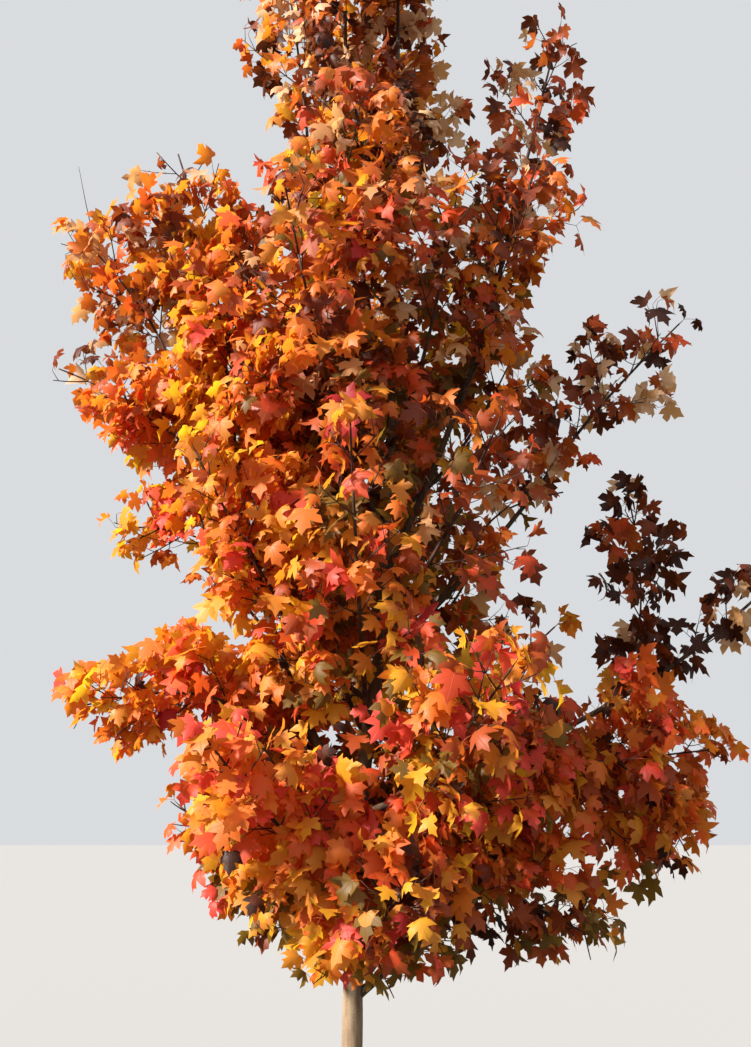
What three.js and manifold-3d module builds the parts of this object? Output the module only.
import * as THREE from 'three';
import { mergeVertices } from 'three/addons/utils/BufferGeometryUtils.js';
import Module from 'manifold-3d';

const wasm = await Module();
wasm.setup();

// A young maple in its autumn leaves, rooted in level ground.
// Millimetres, Z up, X to the viewer's right and Y away from the viewer.
// The origin is the middle of the trunk's flat cut at ground level.

// The trunk: height, lean to the right and radius at each station.
// The first stations stand upright, so the cut at the ground is level.
const TRUNK_STATIONS = [
  { height: 0, lean: 0, radius: 46 },
  { height: 450, lean: 0, radius: 43 },
  { height: 900, lean: 0, radius: 41 },
  { height: 1300, lean: 10, radius: 35 },
  { height: 1950, lean: 50, radius: 29 },
  { height: 2400, lean: 110, radius: 25 },
  { height: 2850, lean: 135, radius: 20 },
  { height: 3500, lean: 160, radius: 17 },
  { height: 4300, lean: 180, radius: 14 },
  { height: 4800, lean: 193, radius: 12 },
  { height: 5200, lean: 196, radius: 9 },
];
const TRUNK_SIDES = 20;
const TRUNK_STEPS = 16;
const TRUNK_CROWDING = 1.6;
const ROOT_FLARE = 0.42;
const ROOT_FLARE_FADE = 110;
const ROOT_LOBES = 5;
const ROOT_LOBE_DEPTH = 0.16;

// Boughs taper to a share of their thickness and swell into a collar where they start.
const BOUGH_SIDES = 6;
const BOUGH_STEPS = 5;
const BOUGH_SPREAD = 0.62;
const BOUGH_TIP_SHARE = 0.52;
const COLLAR_SWELL = 0.35;
const COLLAR_FADE = 45;

// Stems. One that springs from the trunk sets off flatter than it goes on.
const TWIG_SIDES = 3;
const STEM_STEPS = 4;
const STEM_BEND = 0.35;
const STEM_LEVELLING = 0.4;
const STEM_TIP_RADIUS = 3.5;
const SHORT_STEM_RADIUS = 9;
const LONG_STEM_RADIUS = 13;
const LONG_STEM = 1500;
const BARE_START = 160;
const MOST_BARE_SHARE = 0.4;
const LEAST_BARE_SHARE = 0.06;
const STEM_END_ROOM = 0.7;

// Shoots
const SHOOT_RADIUS = 5;
const SHOOT_TIP_RADIUS = 3;
const SHOOT_SPACING = 195;
const SHOOT_ANGLE = 0.95;
const SHOOT_LIFT = 0.22;
const SHOOT_TWIST = 0.3;
const SHORTEST_SHOOT = 50;
const SHOOT_END_ROOM = [0.45, 0.7];
const FIRST_SHOOT_PLACE = 0.3;
const JOINT_LENGTH = 14;
const FIRST_SEED = 1000;

// Leaves, each of which stands for a spray of real ones. The outline of a blade has its lobes
// and notches from right to left, as shares of its length.
const LEAF_LENGTH = 285;
const LEAF_THICKNESS = 9;
const LEAF_OUTLINE = [[0.5, 0.5], [0.2, 0.63], [0, 1], [-0.2, 0.63], [-0.5, 0.5]];
const LEAF_BEND = 0.16;
const LEAF_MIDDLE = 0.36;
const LEAF_SPACING = 171;
const LAST_LEAF_PLACE = 0.6;
const LEAFLESS_FOOT = 30;
const LEAF_SPREAD = [0.9, 1.15];
const LEAF_ANGLE = 1.0;
const LEAF_DROOP = [0.36, 0.84];
const LEAF_TURN = 4;
const LEAF_UPWARD = 0.5;
const LEAST_FACING = 0.15;
const STALK_LENGTH = 28;
const END_STALK_LENGTH = 2;
const STALK_RADIUS = 3;
const STALK_START = 0.2;

// Ways a leaf can lie: shares of its full size, times its droop, and swings to a side.
const LEAF_SIZES = [1, 0.87, 0.74, 0.63];
const LEAF_DROOPS = [1, 2.2, -0.2];
const LEAF_SWINGS = [0, 0.7, -0.7];

// The space of a mass: how its width runs from one end to the other.
const SPACE_PARTS = 8;
const SPACE_ENDS = [0.12, 0.97];
const SPACE_NARROWEST = 0.45;
const SPACE_MARGIN = 0.05;
const ROOM_STEP = 15;

// Clearances
const SEAT_GAP = 0.3;
const LIMB_CLEARANCE = 2;
const TWIG_CLEARANCE = 1.5;
const TOUCH_VOLUME = 0.01;
const SMALLEST_EDGE = 0.02;

// Colours
const BARK = '#a8937f';
const RUST = '#a8481c';
const BRONZE = '#7d4318';
const ORANGE = '#e0701f';
const GOLD = '#e9a02c';
const CORAL = '#df4c34';

const UP = new THREE.Vector3(0, 0, 1);

// Repeatable draws between 0 and 1 from a whole-number seed.
function draws(seed) {
  let state = (seed % 2147483646) + 1;
  return () => {
    state = (state * 16807) % 2147483647;
    return state / 2147483647;
  };
}

// A share of the way from one value to another.
function mix(start, end, share) {
  return start + (end - start) * share;
}

// Where along a rising curve a height is reached.
function shareAtHeight(curve, height) {
  let low = 0;
  let high = 1;
  for (let step = 0; step < 30; step += 1) {
    const middle = (low + high) / 2;
    if (curve.getPointAt(middle).z < height) {
      low = middle;
    } else {
      high = middle;
    }
  }
  return (low + high) / 2;
}

// The part of a vector that lies across an axis, at unit length.
function acrossAxis(vector, axis) {
  return vector.clone().addScaledVector(axis, -vector.dot(axis)).normalize();
}

// A closed tube round a curve, with rings at the given shares of its length and a radius for
// each ring and each side. The sides don't twist as the curve bends.
function tubeGeometry(curve, sides, shares, radiusAt) {
  const positions = [];
  const index = [];
  let side = new THREE.Vector3(0, 1, 0);
  for (const share of shares) {
    const centre = curve.getPointAt(share);
    const along = curve.getTangentAt(share);
    side = acrossAxis(side, along);
    for (let corner = 0; corner < sides; corner += 1) {
      const turn = (2 * Math.PI * corner) / sides;
      const outward = side.clone().applyAxisAngle(along, turn);
      positions.push(...centre.clone().addScaledVector(outward, radiusAt(share, turn)));
    }
  }
  for (let ring = 0; ring < shares.length - 1; ring += 1) {
    for (let corner = 0; corner < sides; corner += 1) {
      const here = ring * sides + corner;
      const beside = ring * sides + ((corner + 1) % sides);
      index.push(here, beside, beside + sides, here, beside + sides, here + sides);
    }
  }
  const last = (shares.length - 1) * sides;
  for (let corner = 1; corner < sides - 1; corner += 1) {
    index.push(0, corner + 1, corner, last, last + corner, last + corner + 1);
  }
  const geometry = new THREE.BufferGeometry();
  geometry.setAttribute('position', new THREE.Float32BufferAttribute(positions, 3));
  geometry.setIndex(index);
  return geometry;
}

// Even or crowded shares from 0 to 1, closer together at the start where crowding is over 1.
function sharesAlong(steps, crowding = 1) {
  return Array.from({ length: steps + 1 }, (unused, step) => (step / steps) ** crowding);
}

function toSolid(geometry) {
  const merged = mergeVertices(geometry, 1e-4);
  return new wasm.Manifold(new wasm.Mesh({
    numProp: 3,
    vertProperties: merged.attributes.position.array,
    triVerts: new Uint32Array(merged.index.array),
  }));
}

function toGeometry(solid) {
  const mesh = solid.getMesh();
  const geometry = new THREE.BufferGeometry();
  geometry.setAttribute('position', new THREE.BufferAttribute(mesh.vertProperties, 3));
  geometry.setIndex(new THREE.BufferAttribute(mesh.triVerts, 1));
  geometry.computeVertexNormals();
  return geometry;
}

function largestBody(solid) {
  return solid.decompose().sort((a, b) => b.volume() - a.volume())[0];
}

// The trunk swells into lobes where its roots start.
function trunkRadius(curve, share, turn, grown) {
  const height = curve.getPointAt(share).z;
  const above = TRUNK_STATIONS.findIndex((station) => station.height > height);
  const upper = TRUNK_STATIONS[above < 0 ? TRUNK_STATIONS.length - 1 : above];
  const lower = TRUNK_STATIONS[TRUNK_STATIONS.indexOf(upper) - 1];
  const between = (height - lower.height) / (upper.height - lower.height);
  const fade = Math.exp(-height / ROOT_FLARE_FADE);
  const lobes = ROOT_LOBE_DEPTH * Math.cos(ROOT_LOBES * turn);
  return mix(lower.radius, upper.radius, between) * (1 + fade * (ROOT_FLARE + lobes)) + grown;
}

function makeTrunk() {
  const points = TRUNK_STATIONS.map(({ height, lean }) => new THREE.Vector3(lean, 0, height));
  const curve = new THREE.CatmullRomCurve3(points);
  const tube = (grown) => tubeGeometry(curve, TRUNK_SIDES,
    sharesAlong(TRUNK_STEPS, TRUNK_CROWDING), (share, turn) => trunkRadius(curve, share, turn, grown));
  const radiusAt = (share) => trunkRadius(curve, share, 0, 0);
  return { name: 'trunk', curve, tube, radiusAt };
}

// A bough springs from the middle of its parent, spreads, and turns up to its tip.
// A spread of a half is straight, and more bulges outward and downward.
function makeBough(parent, { name, at, tip, thick, spread = BOUGH_SPREAD }) {
  const start = parent.curve.getPointAt(shareAtHeight(parent.curve, at));
  const end = new THREE.Vector3(...tip);
  const bend = new THREE.Vector3(
    mix(start.x, end.x, spread),
    mix(start.y, end.y, spread),
    mix(start.z, end.z, 1 - spread),
  );
  const curve = new THREE.QuadraticBezierCurve3(start, bend, end);
  const length = curve.getLength();
  const buried = parent.radiusAt(shareAtHeight(parent.curve, at));
  const radiusAt = (share) => {
    const collar = Math.exp(-Math.max(0, share * length - buried) / COLLAR_FADE);
    return (thick / 2) * (mix(1, BOUGH_TIP_SHARE, share) + COLLAR_SWELL * collar);
  };
  const tube = (grown) => tubeGeometry(curve, BOUGH_SIDES, sharesAlong(BOUGH_STEPS),
    (share) => radiusAt(share) + grown);
  return { name, parent, curve, tube, radiusAt };
}

const trunk = makeTrunk();
const limbs = { trunk };

// What each bough is carried by, the height it leaves it at, its tip and its thickness.
const BOUGHS = [
  { name: 'fork_bough', from: 'trunk', at: 1000, tip: [310, -40, 1330], thick: 34 },
  { name: 'left_bough', from: 'trunk', at: 1720, tip: [-590, 30, 3760], thick: 44, spread: 0.74 },
  { name: 'right_bough', from: 'trunk', at: 2700, tip: [740, 0, 4450], thick: 32, spread: 0.6 },
  { name: 'arm_bough', from: 'trunk', at: 2330, tip: [900, 30, 3230], thick: 30, spread: 0.56 },
  { name: 'low_right_bough', from: 'trunk', at: 1700, tip: [1330, 0, 2310], thick: 34, spread: 0.58 },
  { name: 'second_leader', from: 'trunk', at: 4080, tip: [-30, -60, 5050], thick: 22, spread: 0.6 },
  { name: 'left_leader', from: 'trunk', at: 2560, tip: [-220, 40, 4690], thick: 28, spread: 0.7 },
  { name: 'low_left_bough', from: 'trunk', at: 1560, tip: [-430, -40, 2060], thick: 30 },
  { name: 'shoulder_bough', from: 'left_bough', at: 3150, tip: [-830, 20, 3680], thick: 22 },
  { name: 'flank_bough', from: 'left_bough', at: 2700, tip: [-640, -40, 3120], thick: 18 },
  { name: 'twig_bough', from: 'left_bough', at: 2980, tip: [-960, 90, 3420], thick: 16 },
  { name: 'left_mid_bough', from: 'left_bough', at: 2420, tip: [-560, 30, 2760], thick: 16 },
  { name: 'right_shoulder_bough', from: 'right_bough', at: 3400, tip: [600, -120, 3860], thick: 18 },
  { name: 'elbow_bough', from: 'arm_bough', at: 2560, tip: [560, 20, 2900], thick: 18, spread: 0.5 },
  { name: 'upright_bough', from: 'low_right_bough', at: 2140, tip: [1185, 20, 2420], thick: 16 },
  { name: 'outer_bough', from: 'low_right_bough', at: 1880, tip: [860, -60, 1900], thick: 18,
    spread: 0.5 },
  { name: 'under_bough', from: 'trunk', at: 1330, tip: [740, 60, 1720], thick: 24, spread: 0.55 },
];

for (const bough of BOUGHS) {
  limbs[bough.name] = makeBough(limbs[bough.from], bough);
}

// Each mass of foliage: what its stem grows on from, how far it reaches, and how wide it is.
// A mass on the trunk also has the height its stem leaves it at.
const MASSES = [
  { name: 'top', on: 'trunk', tip: [190, 0, 5960], width: 330, colour: RUST },
  { name: 'top_front', on: 'second_leader', tip: [-40, -150, 5840], width: 320, colour: RUST },
  { name: 'top_left', on: 'left_leader', tip: [-330, 0, 5600], width: 330, colour: ORANGE },
  { name: 'top_back', on: 'trunk', at: 4350, tip: [160, 330, 5450], width: 340, colour: RUST },
  { name: 'right_spire', on: 'right_bough', tip: [960, 0, 5330], width: 290, colour: BRONZE },
  { name: 'right_shoulder', on: 'right_shoulder_bough', tip: [770, -260, 4400], width: 320,
    colour: BRONZE },
  { name: 'right_mid', on: 'trunk', at: 2950, tip: [700, 240, 3720], width: 300, colour: BRONZE },
  { name: 'right_arm', on: 'arm_bough', tip: [1440, 0, 3830], width: 260, colour: BRONZE },
  { name: 'right_elbow', on: 'elbow_bough', tip: [900, 20, 3060], width: 270, colour: BRONZE },
  { name: 'right_waist', on: 'trunk', at: 1950, tip: [850, 60, 2480], width: 330, colour: RUST },
  { name: 'low_right_upright', on: 'upright_bough', tip: [1180, 20, 3050], width: 280,
    colour: BRONZE },
  { name: 'low_right_tip', on: 'low_right_bough', tip: [1940, 0, 2820], width: 260,
    colour: BRONZE },
  { name: 'low_right_outer', on: 'outer_bough', tip: [1470, -60, 1960], width: 330,
    colour: ORANGE },
  { name: 'low_right_under', on: 'under_bough', tip: [1330, 40, 1660], width: 330,
    colour: ORANGE },
  { name: 'low_right_inner', on: 'trunk', at: 1500, tip: [860, -200, 1960], width: 300,
    colour: ORANGE },
  { name: 'bottom_right', on: 'fork_bough', tip: [940, -120, 1230], width: 310, colour: ORANGE },
  { name: 'bottom_left', on: 'trunk', at: 1120, tip: [-360, -200, 1420], width: 250,
    colour: ORANGE },
  { name: 'low_left_under', on: 'trunk', at: 1260, tip: [-710, 20, 1740], width: 310,
    colour: ORANGE },
  { name: 'low_left', on: 'low_left_bough', tip: [-1150, -20, 2130], width: 320, colour: CORAL },
  { name: 'left_waist', on: 'trunk', at: 1880, tip: [-800, 330, 2450], width: 300, colour: GOLD },
  { name: 'left_mid', on: 'left_mid_bough', tip: [-1000, 40, 2910], width: 270, colour: ORANGE },
  { name: 'left_flank', on: 'flank_bough', tip: [-1080, -120, 3450], width: 340, colour: ORANGE },
  { name: 'left_outer_twig', on: 'twig_bough', tip: [-1320, 60, 3640], width: 200, colour: RUST },
  { name: 'left_shoulder_outer', on: 'shoulder_bough', tip: [-1260, 0, 4270], width: 340,
    colour: RUST },
  { name: 'left_shoulder_top', on: 'left_bough', tip: [-810, -40, 4640], width: 370,
    colour: RUST },
  { name: 'left_inner', on: 'trunk', at: 2420, tip: [-620, -200, 3940], width: 350,
    colour: ORANGE },
  { name: 'front_upper', on: 'trunk', at: 3500, tip: [-60, -480, 4700], width: 330,
    colour: RUST },
  { name: 'front_upper_right', on: 'trunk', at: 3250, tip: [420, -520, 4150], width: 330,
    colour: BRONZE },
  { name: 'front_high', on: 'trunk', at: 2860, tip: [-260, -780, 4070], width: 340,
    colour: ORANGE },
  { name: 'front_left', on: 'trunk', at: 2150, tip: [-600, -620, 3050], width: 320,
    colour: GOLD },
  { name: 'front_mid', on: 'trunk', at: 2050, tip: [0, -1000, 3050], width: 340, colour: CORAL },
  { name: 'front_mid_right', on: 'trunk', at: 2480, tip: [560, -720, 3150], width: 320,
    colour: RUST },
  { name: 'front_low_right', on: 'trunk', at: 1620, tip: [560, -980, 2180], width: 340,
    colour: CORAL },
  { name: 'front_low_left', on: 'trunk', at: 1420, tip: [-480, -960, 1930], width: 340,
    colour: CORAL },
  { name: 'front_bottom', on: 'trunk', at: 1190, tip: [170, -820, 1420], width: 310,
    colour: CORAL },
  { name: 'back_upper', on: 'trunk', at: 2800, tip: [80, 850, 4200], width: 340, colour: RUST },
  { name: 'back_upper_left', on: 'trunk', at: 3020, tip: [-450, 640, 3900], width: 340,
    colour: ORANGE },
  { name: 'back_mid', on: 'trunk', at: 2010, tip: [-200, 1080, 2950], width: 350, colour: ORANGE },
  { name: 'back_mid_right', on: 'trunk', at: 2240, tip: [600, 800, 2950], width: 340,
    colour: RUST },
  { name: 'back_low_left', on: 'trunk', at: 1490, tip: [-620, 900, 1980], width: 340,
    colour: ORANGE },
  { name: 'back_low_right', on: 'trunk', at: 1390, tip: [600, 960, 1870], width: 340,
    colour: RUST },
];

// The stem of a mass grows on from its bough's tip, or springs from the trunk.
function makeStem(mass) {
  const parent = limbs[mass.on];
  const sprouts = mass.at !== undefined;
  const share = sprouts ? shareAtHeight(parent.curve, mass.at) : 1;
  const onward = parent.curve.getTangentAt(share);
  const start = parent.curve.getPointAt(share);
  const end = new THREE.Vector3(...mass.tip);
  const reach = end.distanceTo(start);
  if (sprouts) {
    onward.subVectors(end, start);
    onward.z *= STEM_LEVELLING;
    onward.normalize();
  } else {
    start.addScaledVector(onward, SEAT_GAP);
  }
  const bend = start.clone().addScaledVector(onward, STEM_BEND * reach);
  const axis = new THREE.QuadraticBezierCurve3(start, bend, end);
  const leaf = Math.min(LEAF_LENGTH, mass.width);
  const part = 1 - (STEM_END_ROOM * leaf) / reach;
  const bent = start.clone().lerp(bend, part);
  const curve = new THREE.QuadraticBezierCurve3(start, bent, axis.getPoint(part));
  const sprouting = mix(SHORT_STEM_RADIUS, LONG_STEM_RADIUS, reach / LONG_STEM);
  const radius = sprouts ? sprouting : parent.radiusAt(1);
  const radiusAt = (along) => mix(radius, STEM_TIP_RADIUS, along);
  const leafless = sprouts ? Math.min(MOST_BARE_SHARE, BARE_START / reach) : LEAST_BARE_SHARE;
  return { axis, curve, radiusAt, reach, sprouts, leafless, leaf };
}

// The space of a mass is a spindle round its stem, widest near the middle.
function makeSpace(mass, stem) {
  const parts = [];
  for (let part = 0; part <= SPACE_PARTS; part += 1) {
    const share = part / SPACE_PARTS;
    const bulge = Math.sin(Math.PI * mix(...SPACE_ENDS, share));
    const width = mass.width * mix(SPACE_NARROWEST, 1, bulge);
    parts.push({ point: stem.axis.getPointAt(share), width });
  }
  const box = new THREE.Box3().setFromPoints(parts.map(({ point }) => point));
  return { parts, box: box.expandByScalar(mass.width) };
}

// How deep a point is in a space: 0 on the stem, 1 at the edge and more outside.
const nearest = new THREE.Vector3();
const segment = new THREE.Line3();
function depthIn({ parts, box }, point) {
  if (!box.containsPoint(point)) {
    return Infinity;
  }
  let least = Infinity;
  for (let part = 1; part < parts.length; part += 1) {
    segment.set(parts[part - 1].point, parts[part].point);
    const share = segment.closestPointToPointParameter(point, true);
    segment.at(share, nearest);
    const width = mix(parts[part - 1].width, parts[part].width, share);
    least = Math.min(least, nearest.distanceTo(point) / width);
  }
  return least;
}

// A point belongs to the mass whose space it is deepest in.
function owns(mass, point) {
  const depth = depthIn(mass.space, point);
  return depth < 1 && MASSES.every((other) => other === mass
    || depthIn(other.space, point) > depth + SPACE_MARGIN);
}

// The skin of a mass is grown outward, ring by ring. A ring is a closed row of points that
// runs counterclockwise seen from outside, each with the way it faces from the ring's middle.
class Skin {
  constructor() {
    this.points = [];
    this.faces = [];
  }

  ring(points, facings) {
    const first = this.points.length;
    this.points.push(...points);
    return { ids: points.map((point, place) => first + place), facings };
  }

  // Three points round the axis of a twig.
  twigRing(centre, along, side, radius) {
    const facings = [];
    for (let corner = 0; corner < TWIG_SIDES; corner += 1) {
      facings.push(side.clone().applyAxisAngle(along, (2 * Math.PI * corner) / TWIG_SIDES));
    }
    const points = facings.map((facing) => centre.clone().addScaledVector(facing, radius));
    return this.ring(points, facings);
  }

  // Faces between two rings, which may have different numbers of points.
  wall(inner, outer) {
    let best = -Infinity;
    let starts = [0, 0];
    inner.facings.forEach((facing, from) => outer.facings.forEach((other, to) => {
      if (facing.dot(other) > best + 1e-6) {
        best = facing.dot(other);
        starts = [from, to];
      }
    }));
    const around = (ring, start, step) => ring.ids[(start + step) % ring.ids.length];
    let [from, to] = [0, 0];
    while (from < inner.ids.length || to < outer.ids.length) {
      const here = around(inner, starts[0], from);
      const there = around(outer, starts[1], to);
      if ((from + 0.5) / inner.ids.length <= (to + 0.5) / outer.ids.length) {
        from += 1;
        this.faces.push(here, around(inner, starts[0], from), there);
      } else {
        to += 1;
        this.faces.push(here, around(outer, starts[1], to), there);
      }
    }
  }

  cap({ ids }) {
    for (let corner = 1; corner < ids.length - 1; corner += 1) {
      this.faces.push(ids[0], ids[corner], ids[corner + 1]);
    }
  }

  // The sides of a joint between two rings of a twig, each of which a leaf or shoot can leave.
  ports(before, after) {
    return before.ids.map((id, corner) => {
      const next = (corner + 1) % before.ids.length;
      const ids = [id, before.ids[next], after.ids[next], after.ids[corner]];
      const centre = new THREE.Vector3();
      ids.forEach((place) => centre.addScaledVector(this.points[place], 1 / ids.length));
      const facings = ids.map((place) => this.points[place].clone().sub(centre).normalize());
      const normal = before.facings[corner].clone().add(before.facings[next]).normalize();
      return { ids, facings, centre, normal, open: true, stalk: STALK_LENGTH };
    });
  }

  // Grows something and takes it back where it doesn't hold.
  attempt(grow) {
    const [points, faces] = [this.points.length, this.faces.length];
    const holds = grow();
    if (!holds) {
      this.points.length = points;
      this.faces.length = faces;
    }
    return holds;
  }

  solid() {
    const geometry = new THREE.BufferGeometry();
    geometry.setAttribute('position', new THREE.Float32BufferAttribute(
      this.points.flatMap((point) => [...point]), 3));
    geometry.setIndex(this.faces);
    return toSolid(geometry);
  }
}

// The points of a blade: its outline, bent down at the edge, and the middle of its upper and
// under faces.
function leafPoints(root, along, face, size) {
  const across = new THREE.Vector3().crossVectors(along, face).normalize();
  const place = (side, forward, raised) => root.clone()
    .addScaledVector(across, side * size)
    .addScaledVector(along, forward * size)
    .addScaledVector(face, raised);
  const outline = LEAF_OUTLINE.map(([side, forward]) => place(side, forward,
    -LEAF_BEND * size * (Math.abs(side) + 0.5 * forward * forward)));
  const top = place(0, LEAF_MIDDLE, LEAF_THICKNESS / 2);
  const under = place(0, LEAF_MIDDLE, -LEAF_THICKNESS / 2);
  return { outline, top, under, across, face };
}

// A leaf is drawn out of the ring that its stalk fills, past the stalk's thin end.
function addLeaf(skin, root, { outline, top, under, across, face, neck, stalk }) {
  const last = outline.length - 1;
  let thin = root;
  if (root.ids.length > TWIG_SIDES) {
    thin = skin.twigRing(stalk, neck, acrossAxis(face, neck), STALK_RADIUS);
    skin.wall(root, thin);
  }
  const blade = skin.ring([outline[0], under, outline[last], top],
    [across, face.clone().negate(), across.clone().negate(), face]);
  const middle = skin.ring(outline.slice(1, last), []);
  const [right, below, left, above] = blade.ids;
  const edge = [right, ...middle.ids, left];
  skin.wall(thin, blade);
  for (let corner = 0; corner < last; corner += 1) {
    skin.faces.push(above, edge[corner], edge[corner + 1], below, edge[corner + 1], edge[corner]);
  }
}

// The same leaf as a loose solid with its root at a point, to test what it would run into.
function looseLeaf(root, { outline, top, under }) {
  const skin = new Skin();
  const { ids } = skin.ring([root, ...outline, top, under], []);
  const [above, below] = ids.splice(-2);
  ids.forEach((id, corner) => {
    const next = ids[(corner + 1) % ids.length];
    skin.faces.push(above, id, next, below, next, id);
  });
  return skin.solid();
}

const limbSolids = {};
const limbGuards = [];

function guard(solid) {
  return { solid, box: solid.boundingBox() };
}

// Whether a solid runs into any of the guarded ones.
function runsInto(solid, guards) {
  const box = solid.boundingBox();
  return guards.some((other) => {
    const apart = [0, 1, 2].some((axis) => other.box.max[axis] < box.min[axis]
      || other.box.min[axis] > box.max[axis]);
    return !apart && solid.intersect(other.solid).volume() > TOUCH_VOLUME;
  });
}

// Ways a leaf can lie, the largest first.
const LEAF_POSES = LEAF_SIZES.flatMap((share) => LEAF_DROOPS.flatMap((droop) => LEAF_SWINGS
  .map((swing) => ({ share, droop, swing }))));

// A leaf lies off to its side of the twig and droops. The first pose that stays in the space
// and clear of everything is taken, and where none does the leaf is skipped.
function growLeaf(mass, skin, ports, toward, random) {
  const weight = mix(...LEAF_DROOP, random());
  const near = ports[0].centre;
  const axisPoint = trunk.curve.getPointAt(shareAtHeight(trunk.curve, near.z));
  const outward = new THREE.Vector3().subVectors(near, axisPoint).setZ(0).normalize();
  outward.applyAxisAngle(UP, LEAF_TURN * (random() - 0.5)).addScaledVector(UP, LEAF_UPWARD);
  const size = mass.stem.leaf * mix(...LEAF_SPREAD, random());
  for (const { share, droop, swing } of LEAF_POSES) {
    const along = toward.clone().addScaledVector(UP, -weight * droop).normalize();
    along.applyAxisAngle(UP, swing);
    const face = acrossAxis(outward, along);
    const port = mostFacing(ports, along);
    if (port && port.normal.dot(along) > LEAST_FACING) {
      const neck = port.normal.clone().add(along).normalize();
      const stalk = port.centre.clone().addScaledVector(neck, port.stalk);
      const leaf = { neck, stalk, ...leafPoints(stalk, along, face, size * share) };
      if (leaf.outline.every((point) => owns(mass, point))) {
        const loose = looseLeaf(port.centre.clone().lerp(stalk, STALK_START), leaf);
        if (!runsInto(loose, limbGuards) && !runsInto(loose, mass.guards)) {
          mass.leaves += 1;
          mass.guards.push(guard(loose));
          port.open = false;
          addLeaf(skin, port, leaf);
          return;
        }
      }
    }
  }
}

// The open side that faces a direction best.
function mostFacing(ports, direction) {
  const facing = ({ normal }) => normal.dot(direction);
  return ports.filter(({ open }) => open).sort((a, b) => facing(b) - facing(a))[0];
}

// A direction at an angle to an axis, turned round it.
function branchDirection(axis, angle, turn) {
  const side = new THREE.Vector3().crossVectors(axis, Math.abs(axis.z) > 0.9
    ? new THREE.Vector3(1, 0, 0) : UP).normalize();
  side.applyAxisAngle(axis, turn);
  return axis.clone().multiplyScalar(Math.cos(angle)).addScaledVector(side, Math.sin(angle));
}

// How far a straight twig can run before it leaves its mass's space.
function roomAlong(mass, root, direction) {
  let length = ROOM_STEP;
  while (owns(mass, root.clone().addScaledVector(direction, length))) {
    length += ROOM_STEP;
  }
  return length - ROOM_STEP;
}

// A shoot is one straight twig as long as its space allows, or of no length where only a
// leaf fits.
function planShoot(mass, root, direction, random) {
  const { leaf } = mass.stem;
  const length = roomAlong(mass, root, direction) - leaf * mix(...SHOOT_END_ROOM, random());
  if (length < SHORTEST_SHOOT) {
    return { root, direction, length: 0, random };
  }
  const end = root.clone().addScaledVector(direction, length);
  const start = root.clone().addScaledVector(direction, 3 * SHOOT_RADIUS);
  const solid = toSolid(tubeGeometry(new THREE.LineCurve3(start, end), TWIG_SIDES, [0, 1],
    () => SHOOT_RADIUS + TWIG_CLEARANCE));
  if (runsInto(solid, limbGuards) || runsInto(solid, mass.guards)) {
    return null;
  }
  mass.guards.push(guard(solid));
  return { root, direction, length, random };
}

// A joint is a short stretch of twig whose sides shoots and leaves can leave. It is left out
// where none does. What comes back is the ring that the twig goes on from.
function growJoint(skin, inner, centre, along, side, radius, grow) {
  let onward = inner;
  skin.attempt(() => {
    const ring = (offset) => skin.twigRing(centre.clone().addScaledVector(along, offset), along,
      side, radius);
    const before = ring(-JOINT_LENGTH / 2);
    const after = ring(JOINT_LENGTH / 2);
    skin.wall(inner, before);
    const ports = skin.ports(before, after);
    grow(ports);
    ports.filter(({ open }) => open).forEach((port) => skin.cap(port));
    if (ports.every(({ open }) => open)) {
      return false;
    }
    onward = after;
    return true;
  });
  return onward;
}

// A twig ends in a leaf, or is closed where none fits.
function growEnd(mass, skin, inner, centre, along, side, radius, random) {
  const ring = skin.twigRing(centre, along, side, radius);
  skin.wall(inner, ring);
  const port = { ...ring, centre, normal: along, open: true, stalk: END_STALK_LENGTH };
  growLeaf(mass, skin, [port], along, random);
  if (port.open) {
    skin.cap(port);
  }
}

// A shoot carries pairs of leaves along it and one at its tip. One with no leaf is left out.
function growShoot(mass, skin, ports, shoot) {
  const { root, direction, length, random } = shoot;
  if (length === 0) {
    growLeaf(mass, skin, ports, direction, random);
    return;
  }
  const port = mostFacing(ports, direction);
  const spacing = LEAF_SPACING * (mass.stem.leaf / LEAF_LENGTH);
  const pairs = Math.max(0, Math.floor((length - LEAFLESS_FOOT) / spacing));
  const leavesBefore = mass.leaves;
  let turn = random() * Math.PI;
  let inner = port;
  port.open = !skin.attempt(() => {
    for (let pair = pairs; pair > 0; pair -= 1) {
      const distance = length - (pair - 1 + LAST_LEAF_PLACE) * spacing;
      const centre = root.clone().addScaledVector(direction, distance);
      const radius = mix(SHOOT_RADIUS, SHOOT_TIP_RADIUS, distance / length);
      const side = branchDirection(direction, Math.PI / 2, turn - Math.PI / 6);
      inner = growJoint(skin, inner, centre, direction, side, radius, (joint) => {
        for (const flip of [0, Math.PI]) {
          growLeaf(mass, skin, joint, branchDirection(direction, LEAF_ANGLE, turn + flip), random);
        }
      });
      turn += Math.PI / 2;
    }
    const end = root.clone().addScaledVector(direction, length);
    const side = branchDirection(direction, Math.PI / 2, turn);
    growEnd(mass, skin, inner, end, direction, side, SHOOT_TIP_RADIUS, random);
    return mass.leaves > leavesBefore;
  });
}

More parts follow.
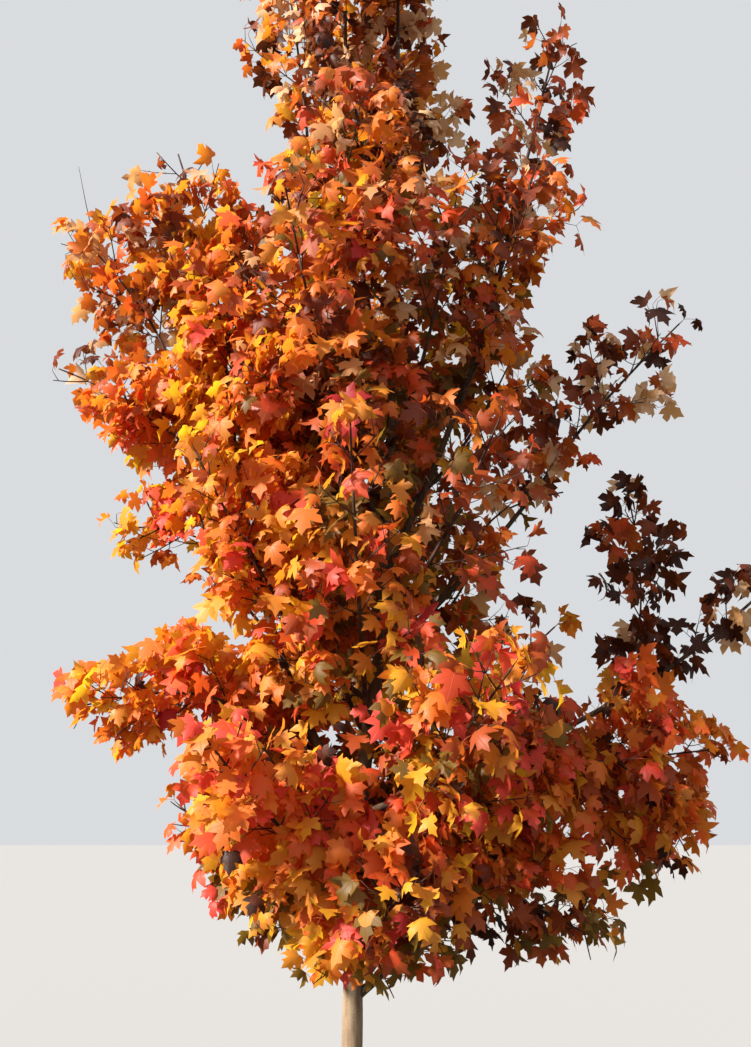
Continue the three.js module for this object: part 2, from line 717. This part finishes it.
// The stem carries its shoots in opposite pairs, each pair a quarter turn from the last.
function growMass(mass, number) {
  const { stem } = mass;
  const { curve, radiusAt, leafless } = stem;
  const seed = FIRST_SEED * (number + 1);
  const random = draws(seed);
  const skin = new Skin();
  const bare = toSolid(tubeGeometry(curve, TWIG_SIDES, sharesAlong(STEM_STEPS),
    (share) => radiusAt(share) + TWIG_CLEARANCE));
  mass.guards = [guard(bare)];
  const pairs = Math.max(2, Math.round((stem.reach * (1 - leafless)) / SHOOT_SPACING));
  const joints = [];
  let turn = random() * Math.PI;
  for (let pair = 0; pair < pairs; pair += 1) {
    const share = mix(leafless, 1, (pair + FIRST_SHOOT_PLACE) / pairs);
    const along = curve.getTangentAt(share);
    const shoots = [0, 1].map((flip) => {
      const direction = branchDirection(along, SHOOT_ANGLE, turn + flip * Math.PI);
      direction.addScaledVector(UP, SHOOT_LIFT).normalize();
      return planShoot(mass, curve.getPointAt(share), direction, draws(seed + 10 * pair + flip + 1));
    });
    joints.push({ share, along, turn, shoots: shoots.filter(Boolean) });
    turn += Math.PI / 2 + SHOOT_TWIST * (random() - 0.5);
  }
  const startAlong = curve.getTangentAt(0);
  const startSide = branchDirection(startAlong, Math.PI / 2, joints[0].turn - Math.PI / 6);
  let inner = skin.twigRing(curve.getPointAt(0), startAlong, startSide, radiusAt(0));
  skin.cap({ ids: [...inner.ids].reverse() });
  for (const { share, along, turn: twist, shoots } of joints) {
    const side = branchDirection(along, Math.PI / 2, twist - Math.PI / 6);
    const centre = curve.getPointAt(share);
    inner = growJoint(skin, inner, centre, along, side, radiusAt(share), (ports) => {
      shoots.forEach((shoot) => growShoot(mass, skin, ports, shoot));
    });
  }
  const along = curve.getTangentAt(1);
  const side = branchDirection(along, Math.PI / 2, turn);
  growEnd(mass, skin, inner, curve.getPointAt(1), along, side, radiusAt(1), random);
  return stem.sprouts ? largestBody(skin.solid().subtract(limbSolids.grown)) : skin.solid();
}

function barkMaterial() {
  return new THREE.MeshStandardMaterial({ color: BARK, roughness: 0.85, metalness: 0 });
}

const tree = new THREE.Group();

function addNode(name, solid, material) {
  const mesh = new THREE.Mesh(toGeometry(solid), material);
  mesh.name = name;
  tree.add(mesh);
}

limbSolids.trunk = toSolid(trunk.tube(0));
limbSolids.grown = toSolid(trunk.tube(SEAT_GAP));
addNode('trunk', limbSolids.trunk, barkMaterial());
for (const { name, from } of BOUGHS) {
  const parentGrown = toSolid(limbs[from].tube(SEAT_GAP / Math.cos(Math.PI / BOUGH_SIDES)));
  const solid = largestBody(toSolid(limbs[name].tube(0)).subtract(parentGrown));
  addNode(name, solid.simplify(SMALLEST_EDGE), barkMaterial());
}
for (const limb of Object.values(limbs)) {
  limbGuards.push(guard(toSolid(limb.tube(LIMB_CLEARANCE))));
}

for (const mass of MASSES) {
  mass.stem = makeStem(mass);
  mass.space = makeSpace(mass, mass.stem);
  mass.leaves = 0;
}
MASSES.forEach((mass, number) => {
  const foliage = new THREE.MeshStandardMaterial({
    color: mass.colour,
    roughness: 0.6,
    metalness: 0,
  });
  addNode(mass.name, growMass(mass, number), foliage);
});

export default tree;
